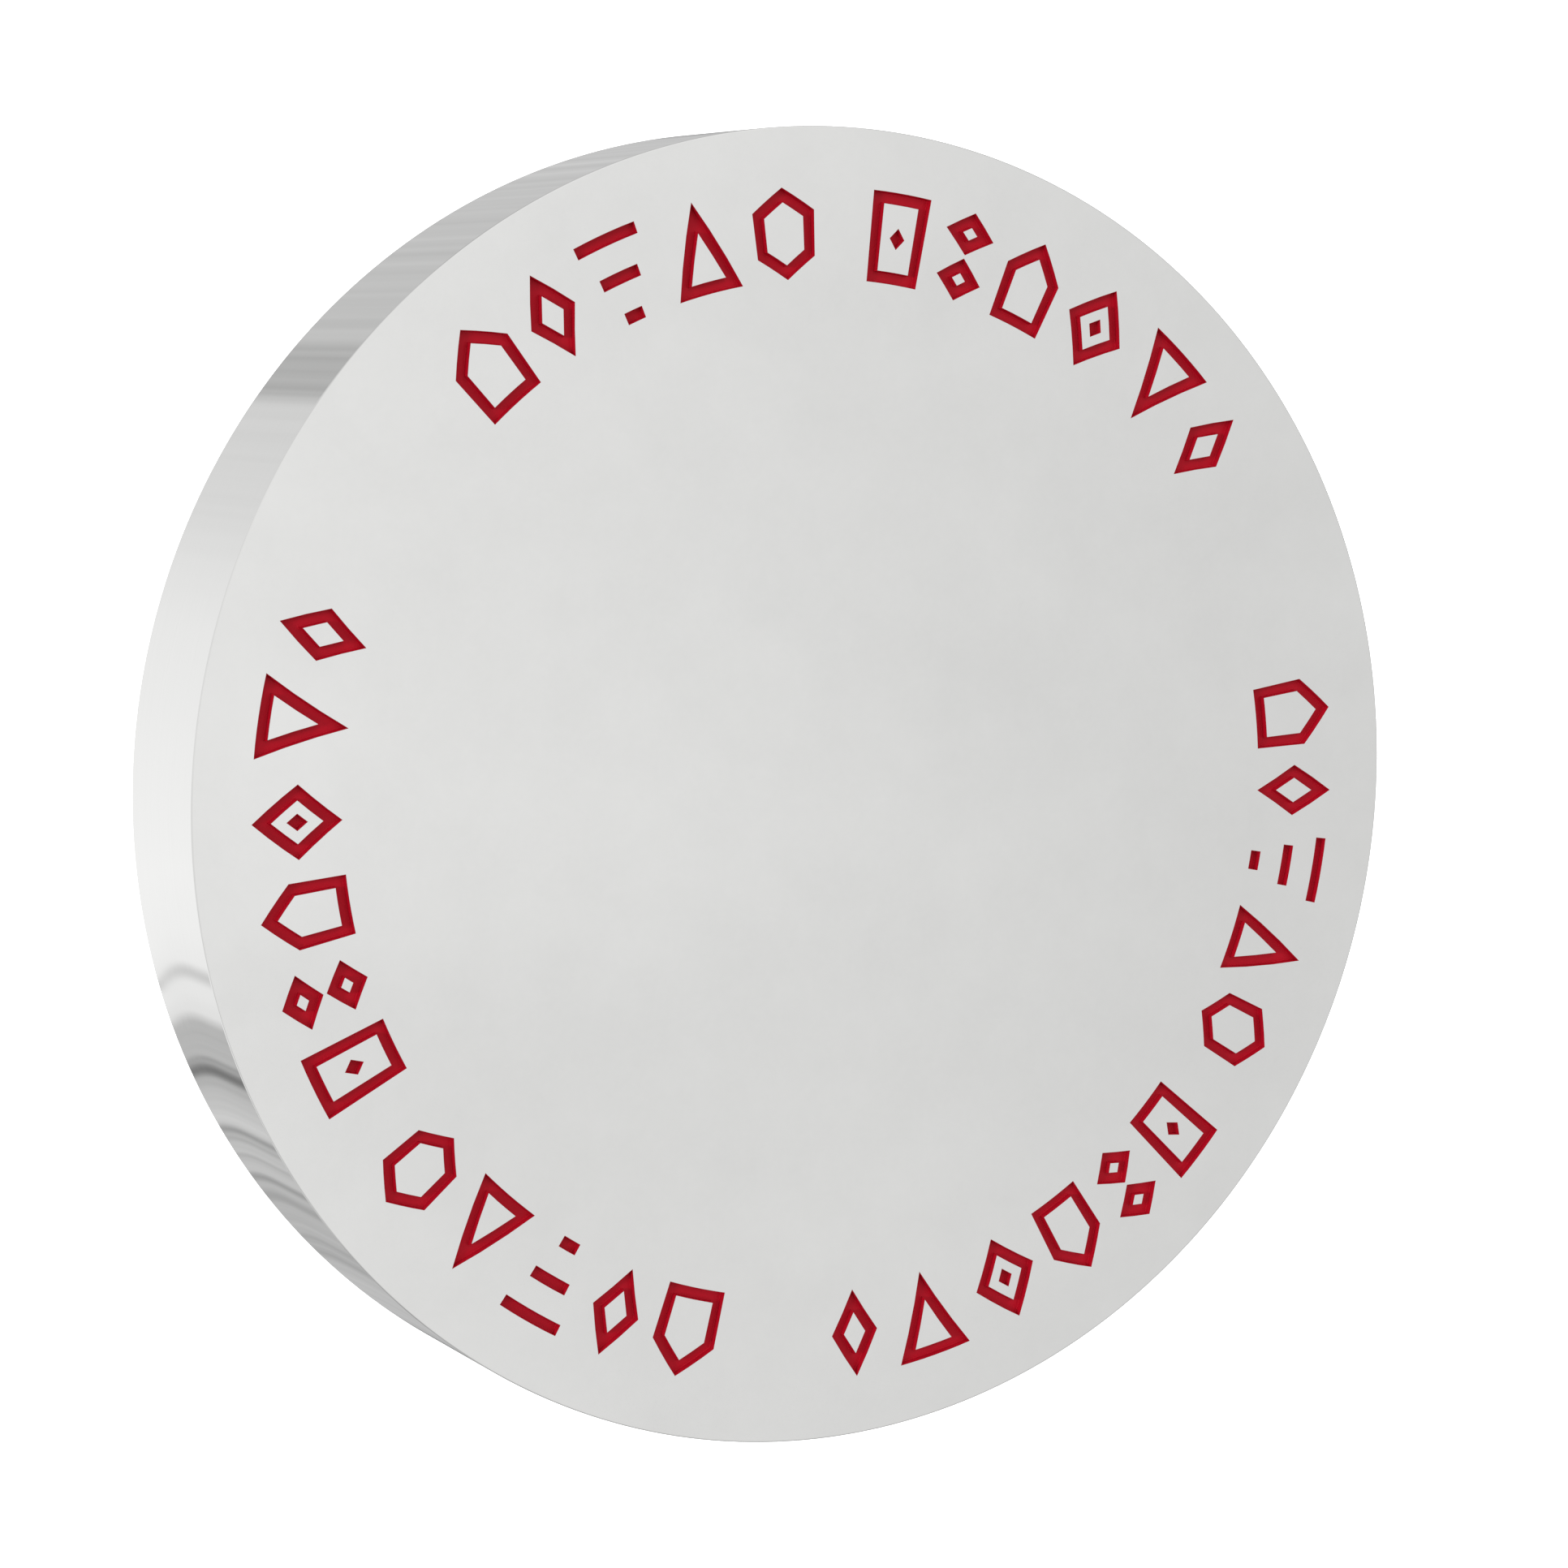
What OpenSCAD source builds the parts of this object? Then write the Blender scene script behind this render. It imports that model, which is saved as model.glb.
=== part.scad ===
// Coin-size fare token: a round metal blank with a ring of engraved, paint-filled marks.
// It lies on its plain reverse face. The origin is at the centre of that face, +Z points
// up through the marked face, and +Y runs through the centre of the top legend.
// Millimetres and degrees.

/* [Blank] */
// Diameter of the blank
blank_d = 22.5; // [20:0.1:32]
// Thickness of the blank
blank_t = 3.1; // [1.6:0.05:4]
// Edge break where each face meets the rim
edge_break = 0.04; // [0.02:0.01:0.2]

/* [Legends] */
// Distance from the rim to the foot of the marks
foot_margin = 1.01; // [0.6:0.01:1.5]
// Height of a mark, from its foot towards the centre
mark_h = 1.54; // [1.3:0.02:2]
// Width of an engraved stroke
stroke = 0.2; // [0.16:0.01:0.22]
// Depth of the engraving
engrave_depth = 0.18; // [0.12:0.01:0.6]
// Angle between neighbouring marks of one group
mark_gap = 2.2; // [1.6:0.1:2.6]
// Angle between the two groups of a legend
group_gap = 6.4; // [4:0.1:8]
// Angle from the top legend to each of the two side legends
legend_pitch = 124; // [118:0.5:126]

/* [Paint] */
// Thickness of the paint on a recess floor
paint_floor = 0.05; // [0.03:0.01:0.08]
// Thickness of the paint on a recess wall
paint_wall = 0.02; // [0.015:0.005:0.04]

/* [Hidden] */
// One legend: the name of each mark and the angle that it spans, counter-clockwise
MARKS = [
    ["tall_lozenge", 5.3],
    ["triangle", 7.8],
    ["dotted_lozenge", 7.4],
    ["pentagon", 6.5],
    ["lozenge_pair", 5.5],
    ["dotted_frame", 6.2],
    ["hexagon", 6.7],
    ["down_triangle", 7.8],
    ["bar_steps", 6.6],
    ["tall_lozenge", 5.5],
    ["pentagon", 7.0]
];
// How many marks come before the gap between the two groups
FIRST_GROUP = 6;
// Each legend's name and the angle of its centre, counter-clockwise from +X
LEGENDS = [
    ["top", 90],
    ["left", 90 + legend_pitch],
    ["right", 90 - legend_pitch]
];

last_mark = len(MARKS) - 1;
foot_r = blank_d / 2 - foot_margin;
mid_r = foot_r - mark_h / 2;
// Width of one degree of arc halfway up the marks
mm_per_degree = mid_r * PI / 180;
// Longest straight piece along the arc of an engraved edge
chord = 0.25;
// How far the cutting shapes reach past the face
clear = 0.1;
// Sides of the blank's outline where it is drawn as a mesh
blank_sides = 180;
// Number of bars in the bar steps
bar_count = 3;
// Width and height of the dot inside a mark, in strokes
dot_strokes = [1.4, 1.8];
// Gap between the two halves of the lozenge pair, in strokes
pair_gap_strokes = 0.3;
// Height of the pentagon's shoulders, as a share of the mark's height
shoulder_share = 0.36;

BLANK_COLOR = [0.80, 0.80, 0.79];
PAINT_COLOR = [0.62, 0.08, 0.13];

function two_digits(n) = n < 10 ? str("0", n) : str(n);
function paint_name(legend, i) = str("paint_", LEGENDS[legend][0], "_", two_digits(i + 1), "_", MARKS[i][0]);

// Angle from the start of a legend to the near side of mark i
function mark_start(i) =
    i == 0 ? 0 : mark_start(i - 1) + MARKS[i - 1][1] + (i == FIRST_GROUP ? group_gap : mark_gap);
legend_span = mark_start(last_mark) + MARKS[last_mark][1];
// Angle of the centre of mark i, counter-clockwise from +X
function mark_angle(legend, i) =
    LEGENDS[legend][1] - legend_span / 2 + mark_start(i) + MARKS[i][1] / 2;

// Marks are drawn flat, x along the arc and y from the foot towards the centre, counter-clockwise
function left_of(p, q) = [p[1] - q[1], q[0] - p[0]] / norm(q - p);
// A closed outline moved inwards by d, with mitred corners
function inset(outline, d) = [
    for (i = [0:len(outline) - 1])
        let (
            before = outline[(i + len(outline) - 1) % len(outline)],
            here = outline[i],
            after = outline[(i + 1) % len(outline)],
            a = left_of(before, here),
            b = left_of(here, after)
        )
        here + d * (a + b) / (1 + a * b)
];
// The same outline with points added along the arc, so that it bends smoothly
function refined(outline) = [
    for (i = [0:len(outline) - 1])
        let (
            p = outline[i],
            q = outline[(i + 1) % len(outline)],
            n = max(1, ceil(abs(q[0] - p[0]) / chord))
        )
        for (k = [0:n - 1])
            p + (q - p) * k / n
];
// The flat outline bent round the blank's axis, with its middle on +X
function bent(outline) = [
    for (p = refined(outline))
        let (angle = p[0] / mm_per_degree)
        (foot_r - p[1]) * [cos(angle), sin(angle)]
];

// Closed flat outlines with their foot at y = 0
function box(w, y0, y1) = [[-w / 2, y0], [w / 2, y0], [w / 2, y1], [-w / 2, y1]];
function lozenge(w, h) = [[0, 0], [w / 2, h / 2], [0, h], [-w / 2, h / 2]];
function hexagon(w, h) = [
    [0, 0],
    [w / 2, h / 4],
    [w / 2, h * 3 / 4],
    [0, h],
    [-w / 2, h * 3 / 4],
    [-w / 2, h / 4]
];
function triangle(w, h) = [[-w / 2, 0], [w / 2, 0], [0, h]];
function down_triangle(w, h) = [[0, 0], [w / 2, h], [-w / 2, h]];
function pentagon(w, h) =
    let (shoulder = h * shoulder_share)
    [[0, 0], [w / 2, shoulder], [w / 2, h], [-w / 2, h], [-w / 2, shoulder]];
function raised(outline, y) = [for (p = outline) p + [0, y]];

// A mark as a list of strokes, each an outer outline followed by the outlines of its holes
function outlined(outline) = [[outline, inset(outline, stroke)]];
function dot() =
    let (w = dot_strokes[0] * stroke, h = dot_strokes[1] * stroke)
    [[raised(lozenge(w, h), (mark_h - h) / 2)]];
function bar_steps(w) = [
    for (k = [0:bar_count - 1])
        let (y = k * (mark_h - stroke) / (bar_count - 1))
        [box(w * (bar_count - k) / bar_count, y, y + stroke)]
];
function lozenge_pair(w) =
    let (gap = pair_gap_strokes * stroke, h = (mark_h - gap) / 2)
    concat(outlined(lozenge(w, h)), outlined(raised(lozenge(w, h), h + gap)));
function strokes(name, w) =
    name == "tall_lozenge" ? outlined(lozenge(w, mark_h))
    : name == "dotted_lozenge" ? concat(outlined(lozenge(w, mark_h)), dot())
    : name == "dotted_frame" ? concat(outlined(box(w, 0, mark_h)), dot())
    : name == "hexagon" ? outlined(hexagon(w, mark_h))
    : name == "triangle" ? outlined(triangle(w, mark_h))
    : name == "down_triangle" ? outlined(down_triangle(w, mark_h))
    : name == "pentagon" ? outlined(pentagon(w, mark_h))
    : name == "bar_steps" ? bar_steps(w)
    : lozenge_pair(w);

// Outline of mark i at its place in a legend, with every stroke narrowed by d on each side
module mark_outline(legend, i, d = 0) {
    rotate(mark_angle(legend, i))
        for (outlines = strokes(MARKS[i][0], MARKS[i][1] * mm_per_degree))
            difference() {
                polygon(bent(inset(outlines[0], d)));
                for (h = [1:1:len(outlines) - 1])
                    polygon(bent(inset(outlines[h], -d)));
            }
}

// The metal blank, with a flat-floored recess for every mark
module token_blank() {
    r = blank_d / 2;
    color(BLANK_COLOR)
        difference() {
            rotate_extrude($fn = blank_sides)
                polygon([
                    [0, 0],
                    [r - edge_break, 0],
                    [r, edge_break],
                    [r, blank_t - edge_break],
                    [r - edge_break, blank_t],
                    [0, blank_t]
                ]);
            translate([0, 0, blank_t - engrave_depth])
                linear_extrude(engrave_depth + clear)
                    for (legend = [0:len(LEGENDS) - 1], i = [0:last_mark])
                        mark_outline(legend, i);
        }
}

// The coat of paint on the floor and walls of one recess, level with the face at its edges
module paint_fill(legend, i) {
    color(PAINT_COLOR)
        difference() {
            translate([0, 0, blank_t - engrave_depth])
                linear_extrude(engrave_depth)
                    mark_outline(legend, i);
            translate([0, 0, blank_t - engrave_depth + paint_floor])
                linear_extrude(engrave_depth)
                    mark_outline(legend, i, paint_wall);
        }
}

token_blank();
for (legend = [0:len(LEGENDS) - 1], i = [0:last_mark])
    paint_fill(legend, i);
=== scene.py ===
"""Looks of a coin-size fare token: a polished metal blank with paint in its engraved marks.

Lengths are metres in the row frame: +Z is the token's axis, and z = 0 is the plain face it
lies on. The blank and every coat of paint replace their plain CAD solids one for one. Their
outlines are read from those solids, so a change of design in CAD carries over.
"""

import math

import bpy
import numpy as np
from mathutils import Matrix, Vector
from mathutils.geometry import delaunay_2d_cdt


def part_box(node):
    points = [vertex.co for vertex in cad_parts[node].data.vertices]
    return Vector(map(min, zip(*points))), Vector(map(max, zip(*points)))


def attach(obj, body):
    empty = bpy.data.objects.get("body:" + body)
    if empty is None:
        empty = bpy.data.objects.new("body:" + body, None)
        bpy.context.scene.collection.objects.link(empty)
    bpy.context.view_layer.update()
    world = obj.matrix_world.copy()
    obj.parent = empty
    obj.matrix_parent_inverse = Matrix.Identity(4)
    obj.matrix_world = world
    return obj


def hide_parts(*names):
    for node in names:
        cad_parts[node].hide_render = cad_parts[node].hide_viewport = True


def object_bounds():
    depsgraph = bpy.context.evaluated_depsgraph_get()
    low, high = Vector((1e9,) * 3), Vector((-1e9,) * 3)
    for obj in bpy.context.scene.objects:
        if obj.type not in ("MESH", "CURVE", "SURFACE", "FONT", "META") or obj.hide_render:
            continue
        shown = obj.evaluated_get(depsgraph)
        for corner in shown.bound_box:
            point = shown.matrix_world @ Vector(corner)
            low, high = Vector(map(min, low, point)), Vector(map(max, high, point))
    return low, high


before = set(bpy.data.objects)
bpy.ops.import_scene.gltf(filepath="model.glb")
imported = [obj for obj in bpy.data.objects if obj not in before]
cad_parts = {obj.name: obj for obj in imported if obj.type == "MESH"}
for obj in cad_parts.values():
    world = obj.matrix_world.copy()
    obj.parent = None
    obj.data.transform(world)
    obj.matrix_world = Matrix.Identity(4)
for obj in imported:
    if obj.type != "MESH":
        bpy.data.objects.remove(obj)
cad_low, cad_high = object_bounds()

MM = 0.001
BLANK = "token_blank"
PAINTS = sorted(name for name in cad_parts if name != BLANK)
BODY = "root"

# Sizes that the CAD model sets
radius = (cad_high.x - cad_low.x) / 2
face_z = cad_high.z
recess_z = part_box(PAINTS[0])[0].z

# Fine shape that the CAD model leaves out
AROUND = 288  # corners of the blank's outline
EDGE_ROUND = 0.025 * MM  # radius of the blank's two edges
EDGE_STEPS = 6
EDGE_GUARD = 0.02 * MM  # strip of the rim beside each edge, which keeps the rim's shading straight
LIP_ROUND = 0.006 * MM  # radius of a recess's upper edge
LIP_STEPS = 3
MARK_MARGIN = 0.3 * MM  # bare metal between the marks and the plain rings of the face
CORE_RINGS = 5  # plain rings of the face inside the marks
PAINT_GAP = 0.001 * MM  # paint to metal
PAINT_TOP = 0.004 * MM  # top of the paint, below the face
PAINT_EDGE = 0.006 * MM  # thickness of the paint at the top of a recess wall
PAINT_WALL = 0.014 * MM  # and at its foot
PAINT_CREST = 0.002 * MM  # radius of the paint's two upper edges
CREST_STEPS = 3
PAINT_FLOOR = 0.050 * MM  # thickness of the paint on a recess floor
PAINT_FILLET = 0.014 * MM  # radius between the painted floor and wall
FILLET_STEPS = 4
SHARP_ANGLE = math.radians(40)  # corners sharper than this are shaded as edges
FLAT = 0.9999  # a face whose normal is at least this upright is shaded flat
RIM_TILT = 0.5  # a face whose normal is less upright than this, beside the rim, is of the rim's metal
LEVEL = 0.001 * MM  # how far above a solid's lowest point its underside may reach
GRID = 0.0001 * MM  # corners that share a cell of this grid are one corner
JOIN = 1e-7  # points that are nearer than this are one, in millimetres

# Stage
FLOOR_HALF = 60 * radius
FLOOR_GAP = 0.002 * MM  # token to floor
KEY_STRENGTH = 1.1
KEY_WIDTH = 15  # degrees that the key light spans
KEY_HEIGHT = 28  # degrees of the key light above the floor
WHITE = 1.2  # brightness of the background, which the camera sees as white

# Camera: it looks at the middle of the token, with +Y near the top of its picture
CAMERA_DISTANCE = 6.66  # in radii of the token
CAMERA_AZIMUTH = 262.2  # degrees, 0 looks along +Y and 90 along -X
CAMERA_ELEVATION = 63.35  # degrees above the floor
CAMERA_ROLL = 5.15  # degrees, turning the camera counter-clockwise
CAMERA_VIEW = 20.6  # degrees across the picture


# ---------------------------------------------------------------- outlines


def outlines(name):
    """The closed outlines round a CAD node's underside, as arrays of x and y with the solid
    on the left: outer ones run counter-clockwise and those of holes clockwise."""
    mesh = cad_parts[name].data
    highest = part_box(name)[0].z + LEVEL
    place = {}
    after = {}
    for face in mesh.polygons:
        corners = [mesh.vertices[i].co for i in face.vertices]
        if any(c.z > highest for c in corners):
            continue
        keys = [(round(c.x / GRID), round(c.y / GRID)) for c in corners]
        place.update(zip(keys, corners))
        for a, b in zip(keys, keys[1:] + keys[:1]):
            after.setdefault(b, set()).add(a)
    # An edge that two faces share runs both ways, and only the outline's own edges are left.
    edges = {(a, b) for a in after for b in after[a] if a not in after.get(b, ())}
    follows = dict(edges)
    loops = []
    while follows:
        start, key = next(iter(follows.items()))
        loop = [start]
        del follows[start]
        while key != start:
            loop.append(key)
            key = follows.pop(key)
        loops.append(np.array([place[k].xy for k in loop]))
    return loops


def shifted(loop, distance):
    """An outline with each of its edges moved to its left, and mitred corners."""
    along = np.roll(loop, -1, 0) - loop
    along /= np.linalg.norm(along, axis=1)[:, None]
    left = np.stack([-along[:, 1], along[:, 0]], 1)
    before = np.roll(left, 1, 0)
    turn = (left * before).sum(1)[:, None]
    return loop + distance * (left + before) / (1 + turn)


def circle(r):
    """A circle's corners, counter-clockwise."""
    a = np.arange(AROUND) * 2 * math.pi / AROUND
    return r * np.stack([np.cos(a), np.sin(a)], 1)


def windings(points, loops):
    """How often the outlines run round each point, counter-clockwise less clockwise."""
    total = np.zeros(len(points))
    for loop in loops:
        a = loop[None] - points[:, None]
        b = np.roll(a, -1, 1)
        cross = a[..., 0] * b[..., 1] - a[..., 1] * b[..., 0]
        total += np.arctan2(cross, (a * b).sum(2)).sum(1)
    return np.round(total / (2 * math.pi))


# ---------------------------------------------------------------- mesh building


class Builder:
    """Collects points and faces. A ring is a list of point numbers."""

    def __init__(self):
        self.points = []
        self.faces = []

    def ring(self, loop, z):
        first = len(self.points)
        self.points += [(x, y, z) for x, y in loop]
        return list(range(first, len(self.points)))

    def band(self, a, b):
        """Quads between two rings. Seen from their outside, ring b lies to the left of a's run."""
        for i, j in zip(range(len(a)), [*range(1, len(a)), 0]):
            self.faces.append((a[i], a[j], b[j], b[i]))

    def skin(self, rings):
        """Bands from each ring to the next."""
        for a, b in zip(rings, rings[1:]):
            self.band(a, b)

    def cap(self, ring, z, up):
        """A fan that closes a round ring at the axis."""
        centre = len(self.points)
        self.points.append((0, 0, z))
        for i, j in zip(range(len(ring)), [*range(1, len(ring)), 0]):
            self.faces.append((ring[i], ring[j], centre) if up else (ring[j], ring[i], centre))

    def fill(self, rings, up):
        """Flat triangles over the region on the left of all the rings."""
        index = [i for ring in rings for i in ring]
        flat = [Vector(self.points[i][:2]) / MM for i in index]
        edges = []
        first = 0
        for ring in rings:
            n = len(ring)
            edges += [(first + k, first + (k + 1) % n) for k in range(n)]
            first += n
        verts, _, faces, origins, _, _ = delaunay_2d_cdt(flat, edges, [], 0, JOIN)
        xy = np.array(verts) * MM
        tris = np.array(faces)
        loops = [np.array([self.points[i][:2] for i in ring]) for ring in rings]
        inside = windings(xy[tris].mean(1), loops) == 1
        for tri in tris[inside]:
            a, b, c = (index[origins[k][0]] for k in tri)
            self.faces.append((a, b, c) if up else (a, c, b))

    def finish(self, name):
        mesh = bpy.data.meshes.new(name)
        mesh.from_pydata(self.points, [], self.faces)
        mesh.validate()
        mesh.set_sharp_from_angle(angle=SHARP_ANGLE)
        for face in mesh.polygons:
            face.use_smooth = abs(face.normal.z) < FLAT
        obj = bpy.data.objects.new(name, mesh)
        bpy.context.scene.collection.objects.link(obj)
        return obj


def quarter(steps):
    """Pairs that go from (1, 0) to (0, 1) round a quarter circle."""
    angles = [k * math.pi / 2 / steps for k in range(steps + 1)]
    return [(math.cos(a), math.sin(a)) for a in angles]


def blank():
    """The metal blank: rounded edges, flat faces and a sunk recess for every mark."""
    b = Builder()
    loops = [loop for name in PAINTS for loop in outlines(name)]
    spans = [np.linalg.norm(loop, axis=1) for loop in loops]
    inner = min(s.min() for s in spans) - MARK_MARGIN
    outer = max(s.max() for s in spans) + MARK_MARGIN
    flat_r = radius - EDGE_ROUND
    guard = EDGE_ROUND + EDGE_GUARD
    core = [inner * k / CORE_RINGS for k in range(1, CORE_RINGS + 1)]

    # Up the outside: underside, lower edge, rim, upper edge, and in to the marks
    profile = [(r, 0) for r in (*core, outer)]
    profile += [(flat_r + EDGE_ROUND * s, EDGE_ROUND * (1 - c)) for c, s in quarter(EDGE_STEPS)]
    profile += [(radius, guard), (radius, face_z - guard)]
    profile += [(flat_r + EDGE_ROUND * c, face_z - EDGE_ROUND * (1 - s)) for c, s in quarter(EDGE_STEPS)]
    profile.append((outer, face_z))
    rings = [b.ring(circle(r), z) for r, z in profile]
    b.cap(rings[0], 0, up=False)
    b.skin(rings)

    # The plain middle of the marked face
    middle = [b.ring(circle(r), face_z) for r in reversed(core)]
    b.skin(middle)
    b.cap(middle[-1], face_z, up=True)

    # Lip and wall of each recess, its floor, and the marked ring of the face
    turns = [(LIP_ROUND * (s - 1), face_z - LIP_ROUND * (1 - c)) for c, s in quarter(LIP_STEPS)]
    lips = []
    floors = []
    for loop in loops:
        steps = [b.ring(shifted(loop, d), z) for d, z in turns]
        steps.append(b.ring(loop, recess_z))
        b.skin(steps)
        lips.append(steps[0][::-1])
        floors.append(steps[-1])
    b.fill([rings[-1], middle[0][::-1], *lips], up=True)
    b.fill(floors, up=True)
    return b.finish("metal_blank")


def paint(name):
    """One mark's coat of paint: a thin tray on the floor and walls of its recess."""
    b = Builder()
    top = face_z - PAINT_TOP
    floor = recess_z + PAINT_FLOOR
    crest = quarter(CREST_STEPS)
    fillet = quarter(FILLET_STEPS)

    # Distance in from the recess's outline, and height: up the wall, over its top and down to the floor
    profile = [(PAINT_GAP, recess_z + PAINT_GAP)]
    profile += [(PAINT_GAP + PAINT_CREST * (1 - c), top - PAINT_CREST * (1 - s)) for c, s in crest]
    profile += [(PAINT_EDGE - PAINT_CREST * (1 - s), top - PAINT_CREST * (1 - c)) for c, s in crest]
    profile += [(PAINT_WALL + PAINT_FILLET * (1 - c), floor + PAINT_FILLET * (1 - s)) for c, s in fillet]
    first = []
    last = []
    for loop in outlines(name):
        rings = [b.ring(shifted(loop, d), z) for d, z in profile]
        b.skin(rings)
        first.append(rings[0])
        last.append(rings[-1])
    b.fill(first, up=False)
    b.fill(last, up=True)
    return b.finish(name.replace("paint_", "enamel_"))


# ---------------------------------------------------------------- node helpers


class Nodes:
    """Adds shader nodes to a node tree."""

    def __init__(self, tree):
        self.tree = tree
        tree.nodes.clear()

    def add(self, kind, **keys):
        """A new node. A key that names an input sets it or links to it, i3 is input number 3,
        and any other key is a property of the node."""
        node = self.tree.nodes.new("ShaderNode" + kind)
        for key, value in keys.items():
            spot = int(key[1:]) if key[0] == "i" and key[1:].isdigit() else key.replace("_", " ")
            if not isinstance(spot, int) and spot not in node.inputs:
                setattr(node, key, value)
            elif isinstance(value, bpy.types.NodeSocket):
                self.tree.links.new(value, node.inputs[spot])
            else:
                node.inputs[spot].default_value = value
        return node

    def maths(self, operation, *values):
        """One sum, product or function of numbers and sockets."""
        keys = {f"i{k}": v for k, v in enumerate(values)}
        return self.add("Math", operation=operation, **keys).outputs["Value"]

    def product(self, *values):
        """All the values multiplied together."""
        result = values[0]
        for value in values[1:]:
            result = self.maths("MULTIPLY", result, value)
        return result

    def between(self, factor, low, high):
        """low where the factor is 0, and high where it is 1."""
        return self.maths("MULTIPLY_ADD", factor, high - low, low)

    def mix(self, factor, low, high):
        """The same, where low and high may be sockets."""
        return self.add("Mix", data_type="FLOAT", i0=factor, i2=low, i3=high).outputs[0]

    def tint(self, factor, low, high):
        """A colour between two others."""
        node = self.add("Mix", data_type="RGBA", Factor=factor, i6=(*low, 1), i7=(*high, 1))
        return node.outputs[2]

    def noise(self, place, **keys):
        """Soft random patches, 0 to 1."""
        return self.add("TexNoise", Vector=place, **keys).outputs["Fac"]

    def stretched(self, place, scale):
        """The same place with each of its three parts scaled."""
        return self.add("VectorMath", operation="MULTIPLY", i0=place, i1=scale).outputs["Vector"]

    def curve(self, value, stops):
        """Brightness along a value, through (value, brightness) stops."""
        low = stops[0][0]
        span = stops[-1][0] - low
        peak = max(level for _, level in stops)
        share = self.maths("DIVIDE", self.maths("SUBTRACT", value, low), span)
        node = self.add("ValToRGB", Fac=share)
        elements = node.color_ramp.elements
        elements.remove(elements[1])
        for k, (position, level) in enumerate(stops):
            element = elements[0] if k == 0 else elements.new((position - low) / span)
            element.position = (position - low) / span
            element.color = (*[level / peak] * 3, 1)
        return self.maths("MULTIPLY", node.outputs["Color"], peak)


def shader(name):
    """A new node material, and what adds nodes to it."""
    material = bpy.data.materials.new(name)
    material.use_nodes = True
    return material, Nodes(material.node_tree)


def surface(nodes, **keys):
    """A Principled surface with these inputs, joined to the material's output."""
    made = nodes.add("BsdfPrincipled", **keys)
    nodes.add("OutputMaterial", Surface=made.outputs["BSDF"])


# ---------------------------------------------------------------- materials


def face_metal():
    """Polished white metal with a faint, cloudy haze."""
    material, nodes = shader("polished_metal")
    place = nodes.add("TexCoord").outputs["Object"]
    haze = nodes.noise(place, Scale=600, Detail=6, Roughness=0.75)
    surface(
        nodes,
        Base_Color=nodes.tint(haze, (0.593, 0.593, 0.585), (0.657, 0.657, 0.649)),
        Metallic=1.0,
        Roughness=nodes.between(haze, 0.03, 0.08),
    )
    return material


def rim_metal():
    """The rim's brighter polish, with hairlines that run round it."""
    material, nodes = shader("rim_metal")
    place = nodes.add("TexCoord").outputs["Object"]
    lines = nodes.noise(nodes.stretched(place, (1, 1, 90)), Scale=250, Detail=3, Roughness=0.6)
    surface(
        nodes,
        Base_Color=nodes.tint(lines, (0.625, 0.625, 0.617), (0.650, 0.650, 0.642)),
        Metallic=1.0,
        Roughness=nodes.between(lines, 0.01, 0.04),
    )
    return material


def enamel():
    """Dark red enamel with a low sheen."""
    material, nodes = shader("red_enamel")
    place = nodes.add("TexCoord").outputs["Object"]
    pool = nodes.noise(place, Scale=2500, Detail=2)
    surface(
        nodes,
        Base_Color=nodes.tint(pool, (0.405, 0.0042, 0.016), (0.460, 0.005, 0.018)),
        Roughness=nodes.between(pool, 0.40, 0.50),
        Specular_IOR_Level=0.1,
    )
    return material


# ---------------------------------------------------------------- stage, light, camera


def floor_plane():
    """A white floor under the token, which the token's metal doesn't mirror."""
    z = cad_low.z - FLOOR_GAP
    square = [(-1, -1), (1, -1), (1, 1), (-1, 1)]
    mesh = bpy.data.meshes.new("floor")
    mesh.from_pydata([(x * FLOOR_HALF, y * FLOOR_HALF, z) for x, y in square], [], [(0, 1, 2, 3)])
    obj = bpy.data.objects.new("floor", mesh)
    bpy.context.scene.collection.objects.link(obj)
    material, nodes = shader("floor_white")
    surface(
        nodes,
        Base_Color=(0.9, 0.9, 0.9, 1),
        Roughness=1.0,
        Specular_IOR_Level=0.0,
        Emission_Color=(1, 1, 1, 1),
        Emission_Strength=0.9,
    )
    mesh.materials.append(material)
    obj.visible_glossy = False


# The sky's brightness by the x part of a direction, and factors by its y and z parts
SKY_ACROSS = [
    (-1, 1.15),
    (0.0, 1.18),
    (0.32, 1.215),
    (0.42, 1.135),
    (0.49, 1.065),
    (0.53, 1.025),
    (0.57, 1.015),
    (1, 0.8),
]
SKY_ALONG = [
    (-1, 0.55),
    (-0.3, 0.95),
    (-0.15, 0.985),
    (-0.06, 1.0),
    (0.05, 1.0),
    (0.09, 1.01),
    (1, 1.01),
]
SKY_UP = [(0, 0.80), (0.3, 0.92), (0.6, 1.0), (1, 1.0)]
SKY_CLOUD = 0.07  # how much its clouds add and take at most
# A darker band in it by the y part, and the x parts between which the band fades out
BAND = [
    (-0.24, 1.0),
    (-0.17, 0.965),
    (-0.14, 0.955),
    (-0.12, 0.965),
    (-0.1, 1.008),
    (-0.06, 1.006),
    (-0.03, 1.0),
]
BAND_ENDS = (0.4, 0.47)
# A factor by the y part for the light that falls on the paint, which darkens the walls that face -Y
PAINT_LIGHT = [(-1, 0.15), (-0.35, 0.6), (0, 1.0), (1, 1.0)]
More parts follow.
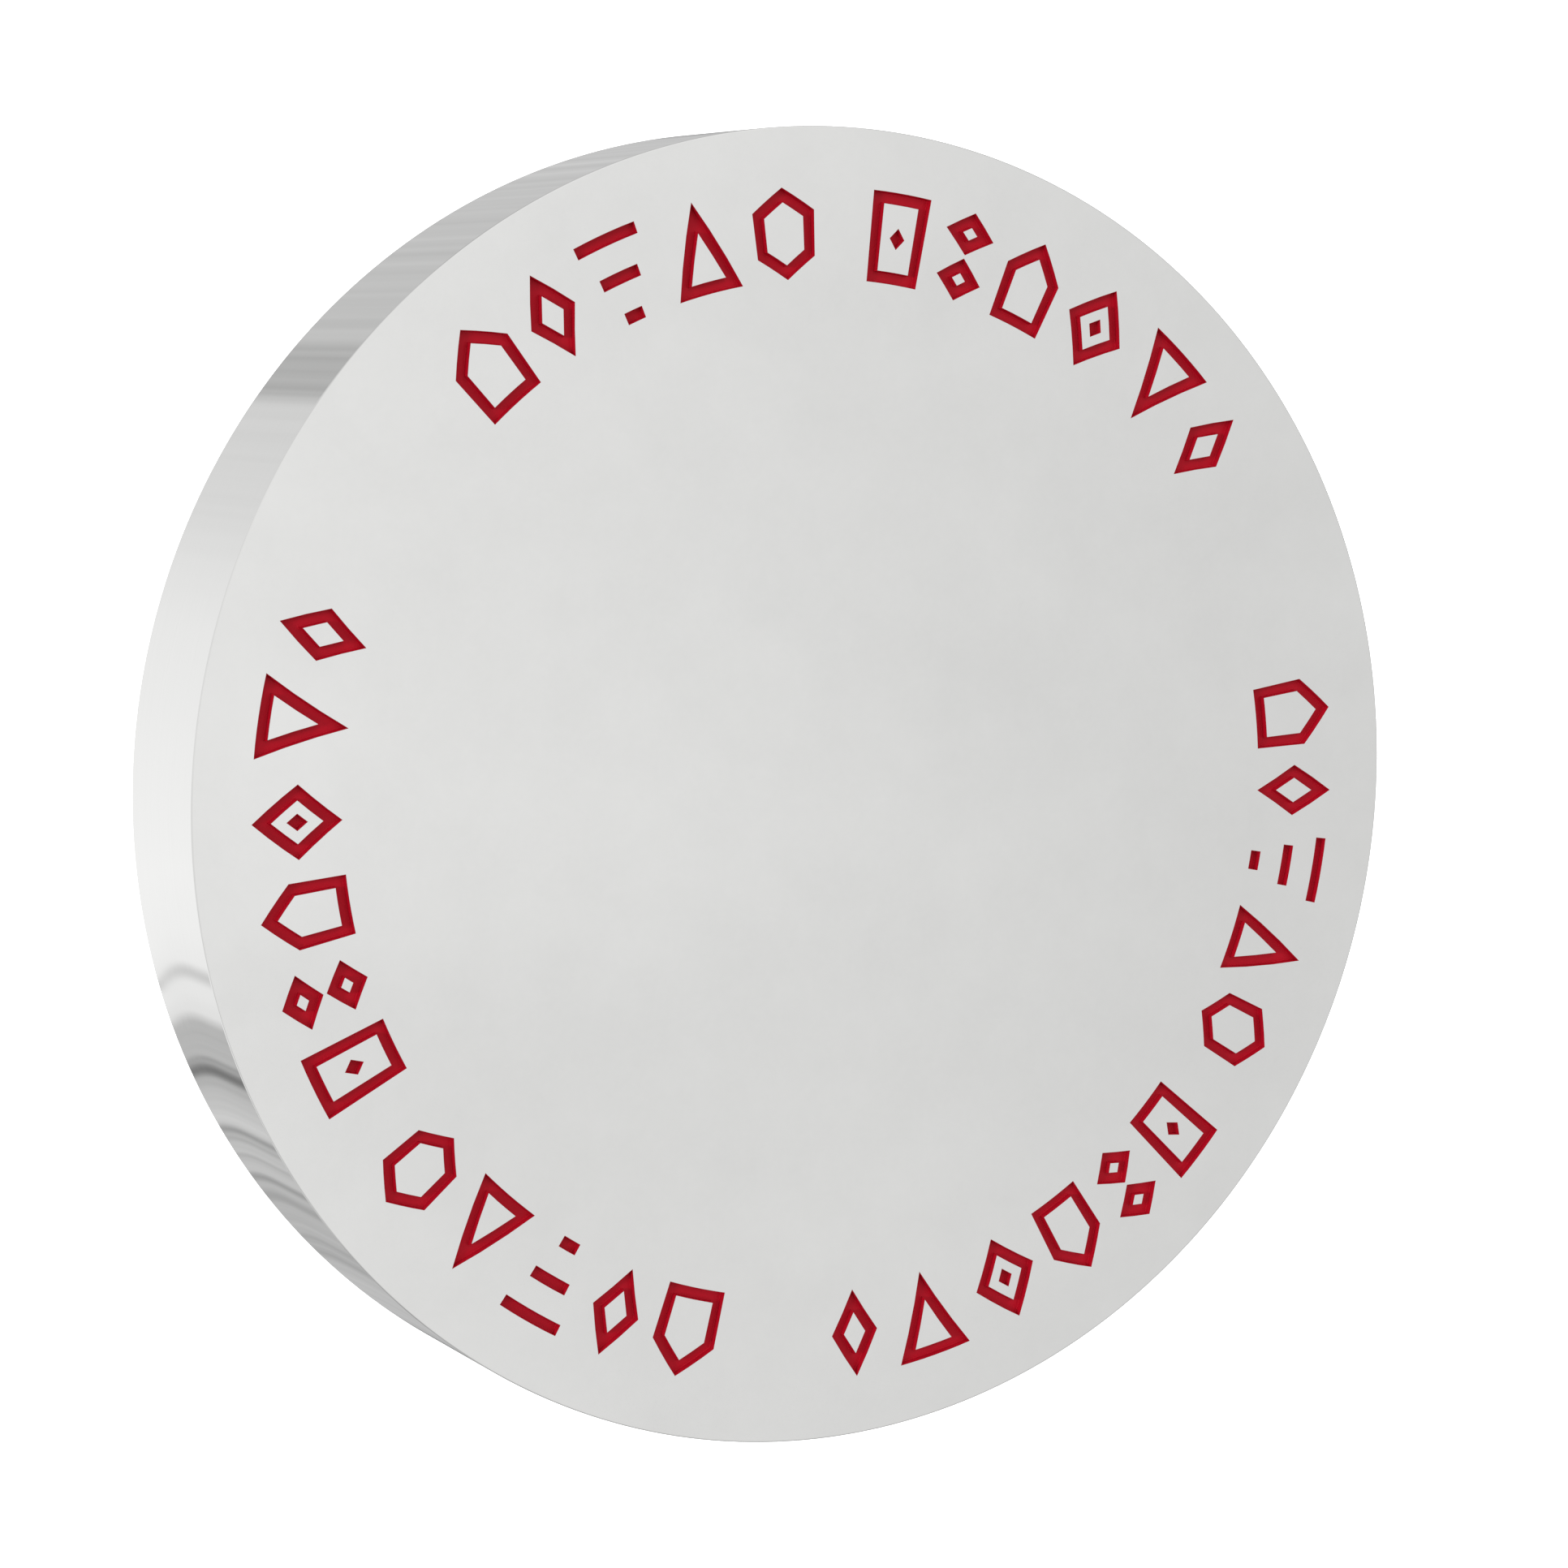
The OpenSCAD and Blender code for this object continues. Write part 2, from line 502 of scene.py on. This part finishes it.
# Below the horizon, where the rim mirrors it: brightness by azimuth in degrees, 0 at +X and 90 at +Y
UNDER = [
    (16, 0.41),
    (22, 0.58),
    (40, 0.66),
    (100, 0.72),
    (103, 0.60),
    (113.5, 0.60),
    (116.5, 0.88),
    (142, 0.98),
    (154, 1.08),
    (167, 1.16),
    (192, 1.22),
    (216, 1.25),
    (228, 1.21),
    (242, 1.09),
    (245.5, 1.02),
    (248, 0.63),
    (264, 0.67),
    (269, 0.77),
    (276, 0.69),
    (286, 0.60),
    (292, 0.57),
    (300, 0.52),
    (307, 0.57),
    (322, 0.54),
    (329, 0.30),
    (337, 0.38),
]
# Dark lines in it: azimuth, half width and the share of the light that each takes
UNDER_LINES = [
    (237, 2.6, 0.27),
    (256, 1.2, 0.30),
    (258.5, 2.9, 0.60),
    (261.5, 1.6, 0.13),
    (272.5, 1.8, 0.40),
    (274.5, 1.4, 0.22),
    (278.5, 1.0, 0.14),
    (283.5, 1.7, 0.28),
    (288, 2.7, 0.23),
    (298.5, 1.5, 0.09),
    (303, 2.6, 0.17),
]
STREAKS = 0.38  # strength of its fine streaks, which grows with the square of how dark it is
# Towards the nadir it all bends sideways. The bend starts BEND_FROM degrees below the horizon at azimuth
# BEND_MIDDLE, and higher up on both sides of it
BEND_FROM = 71.25
BEND_MIDDLE = 172.0
BEND_FALL = 0.000275  # degrees for each squared degree of azimuth
BEND_RATE = 25.0  # degrees sideways for each squared degree down
BEND_MOST = 7.5  # degrees
BEND_SHARE = [(170, 0), (237, 1), (272, 0.38), (300, 0.38), (330, 0)]  # by azimuth


def sky_over(nodes, direction, parts):
    """Brightness above the horizon: bright and lightly clouded, dimmer towards +X and -Y."""
    cloud = nodes.noise(nodes.stretched(direction, (1, 1.5, 1)), Scale=15, Detail=6, Roughness=0.65)
    start, end = BAND_ENDS
    fade = nodes.add(
        "MapRange", interpolation_type="SMOOTHSTEP", Value=parts["X"], From_Min=start, From_Max=end
    )
    return nodes.product(
        nodes.curve(parts["X"], SKY_ACROSS),
        nodes.curve(parts["Y"], SKY_ALONG),
        nodes.mix(fade.outputs["Result"], nodes.curve(parts["Y"], BAND), 1.0),
        nodes.curve(parts["Z"], SKY_UP),
        nodes.between(cloud, 1 - SKY_CLOUD, 1 + SKY_CLOUD),
    )


def sideways(nodes, parts, azimuth):
    """How far the light below the horizon has bent, in degrees of azimuth."""
    below = nodes.maths("DEGREES", nodes.maths("ARCSINE", nodes.maths("MULTIPLY", parts["Z"], -1.0)))
    off = nodes.maths("SUBTRACT", azimuth, BEND_MIDDLE)
    below = nodes.maths("MULTIPLY_ADD", nodes.product(off, off), BEND_FALL, below)
    past = nodes.maths("MAXIMUM", nodes.maths("SUBTRACT", below, BEND_FROM), 0.0)
    bend = nodes.maths("MINIMUM", nodes.product(past, past, BEND_RATE), BEND_MOST)
    return nodes.product(bend, nodes.curve(azimuth, BEND_SHARE))


def sky_under(nodes, parts):
    """Brightness below the horizon by azimuth, bent near the nadir: a glow, dark lines and fine streaks."""
    turn = nodes.maths("FLOORED_MODULO", nodes.maths("ARCTAN2", parts["Y"], parts["X"]), 2 * math.pi)
    azimuth = nodes.maths("DEGREES", turn)
    azimuth = nodes.maths("SUBTRACT", azimuth, sideways(nodes, parts, azimuth))
    glow = nodes.curve(azimuth, UNDER)
    light = glow
    for place, half_width, share in UNDER_LINES:
        off = nodes.maths("ABSOLUTE", nodes.maths("SUBTRACT", azimuth, place))
        line = nodes.add(
            "MapRange", interpolation_type="SMOOTHSTEP", Value=off, From_Max=half_width, To_Min=1 - share
        )
        light = nodes.product(light, line.outputs["Result"])
    grain = nodes.add("TexNoise", noise_dimensions="1D", W=azimuth, Scale=0.35, Detail=3).outputs["Fac"]
    peak = max(level for _, level in UNDER)
    dark = nodes.maths("SUBTRACT", peak, glow)
    streak = nodes.product(dark, dark, nodes.between(grain, -STREAKS, STREAKS))
    return nodes.product(light, nodes.maths("ADD", streak, 1.0))


def sky():
    """Soft studio surroundings. The camera sees them as plain white."""
    world = bpy.data.worlds.new("studio")
    bpy.context.scene.world = world
    world.use_nodes = True
    nodes = Nodes(world.node_tree)
    direction = nodes.add("TexCoord").outputs["Generated"]
    parts = nodes.add("SeparateXYZ", Vector=direction).outputs
    ray = nodes.add("LightPath").outputs
    on_paint = nodes.mix(ray["Is Diffuse Ray"], 1.0, nodes.curve(parts["Y"], PAINT_LIGHT))
    over = nodes.product(sky_over(nodes, direction, parts), on_paint)
    down = nodes.maths("LESS_THAN", parts["Z"], 0.0)
    light = nodes.mix(down, over, sky_under(nodes, parts))
    strength = nodes.mix(ray["Is Camera Ray"], light, WHITE)
    back = nodes.add("Background", Color=(1, 1, 1, 1), Strength=strength)
    nodes.add("OutputWorld", Surface=back.outputs["Background"])


def key_light():
    """A soft low light from -X that reaches the walls of the recesses. The metal doesn't mirror it."""
    data = bpy.data.lights.new("key", "SUN")
    data.energy = KEY_STRENGTH
    data.angle = math.radians(KEY_WIDTH)
    obj = bpy.data.objects.new("key", data)
    bpy.context.scene.collection.objects.link(obj)
    obj.rotation_euler = (0, math.radians(KEY_HEIGHT - 90), 0)
    obj.visible_glossy = False


def camera():
    """The camera, at its named distance and angles round the middle of the token."""
    target = (cad_low + cad_high) / 2
    azimuth = math.radians(CAMERA_AZIMUTH)
    elevation = math.radians(CAMERA_ELEVATION)
    back = Vector(
        (
            math.sin(azimuth) * math.cos(elevation),
            -math.cos(azimuth) * math.cos(elevation),
            math.sin(elevation),
        )
    )
    up = (Vector((0, 1, 0)) - back * back.y).normalized()
    right = up.cross(back)
    axes = Matrix((right, up, back)).transposed()
    turn = Matrix.Rotation(math.radians(CAMERA_ROLL), 3, back)
    data = bpy.data.cameras.new("camera")
    data.angle = math.radians(CAMERA_VIEW)
    data.clip_start = radius / 10
    data.clip_end = 1000 * radius
    obj = bpy.data.objects.new("camera", data)
    bpy.context.scene.collection.objects.link(obj)
    obj.matrix_world = (turn @ axes).to_4x4()
    obj.location = target + back * CAMERA_DISTANCE * radius
    bpy.context.scene.camera = obj


# ---------------------------------------------------------------- assembly


def add_blank():
    """The metal blank in its place, with the rim's metal up to the steep part of its rounded edges."""
    obj = blank()
    obj.data.materials.append(face_metal())
    obj.data.materials.append(rim_metal())
    for polygon in obj.data.polygons:
        upright = abs(polygon.normal.z) < RIM_TILT
        if upright and polygon.center.xy.length > radius - EDGE_ROUND:
            polygon.material_index = 1
    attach(obj, BODY)
    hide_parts(BLANK)


def add_paint():
    """Every mark's coat of paint in its place."""
    red = enamel()
    for name in PAINTS:
        coat = paint(name)
        coat.data.materials.append(red)
        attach(coat, BODY)
        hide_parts(name)


camera()
sky()
key_light()
floor_plane()
bpy.context.scene.view_settings.view_transform = "Standard"
add_blank()
add_paint()
